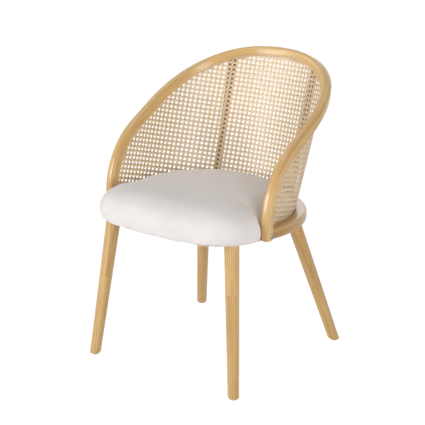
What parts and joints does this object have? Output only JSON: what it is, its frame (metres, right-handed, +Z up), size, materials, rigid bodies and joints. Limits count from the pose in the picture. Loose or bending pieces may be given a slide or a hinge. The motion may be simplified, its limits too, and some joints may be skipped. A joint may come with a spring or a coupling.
{
  "type": "cane armchair",
  "caption": "Upholstered armchair with a bent wooden hoop for arms and back, a woven cane shell, a crowned fabric seat pad and splayed tapered legs.",
  "frame": {"origin": "on the floor, below the middle of the chair's overall width and depth", "axes": "+Z up, the chair faces -Y, +X to the left hand of someone who sits in it. Left and right in the names are as seen by someone who faces the chair, so left is -X"},
  "size_m": [0.524, 0.5587, 0.7657],
  "materials": {
    "wood": "clear satin lacquer on honey-coloured hardwood",
    "bead_wood": "clear satin lacquer on pale hardwood",
    "plywood": "unfinished plywood",
    "cane": "natural open-weave cane webbing",
    "foam": "soft upholstery foam",
    "cover_fabric": "off-white plain woven upholstery",
    "dust_fabric": "black non-woven dust cloth",
    "glide": "light grey nylon",
    "steel": "zinc-plated steel",
    "brass": "plain brass"
  },
  "bodies": {
    "root": {"seat_frame": "wood", "seat_board": "plywood", "seat_foam": "foam", "seat_cover": "cover_fabric", "dust_cloth": "dust_fabric", "back_hoop": "wood", "cane_bead": "bead_wood", "cane_panel": "cane", "cane_spline": "cane", "upright_left": "wood", "upright_right": "wood", "upright_dowels": "bead_wood", "leg_front_left": "wood", "leg_front_right": "wood", "leg_rear_left": "wood", "leg_rear_right": "wood", "glide_front_left": "glide", "glide_front_right": "glide", "glide_rear_left": "glide", "glide_rear_right": "glide", "leg_bolts": "steel", "leg_inserts": "brass", "post_bolts": "steel", "post_barrel_nuts": "steel", "board_screws": "steel"}
  },
  "joints": []
}
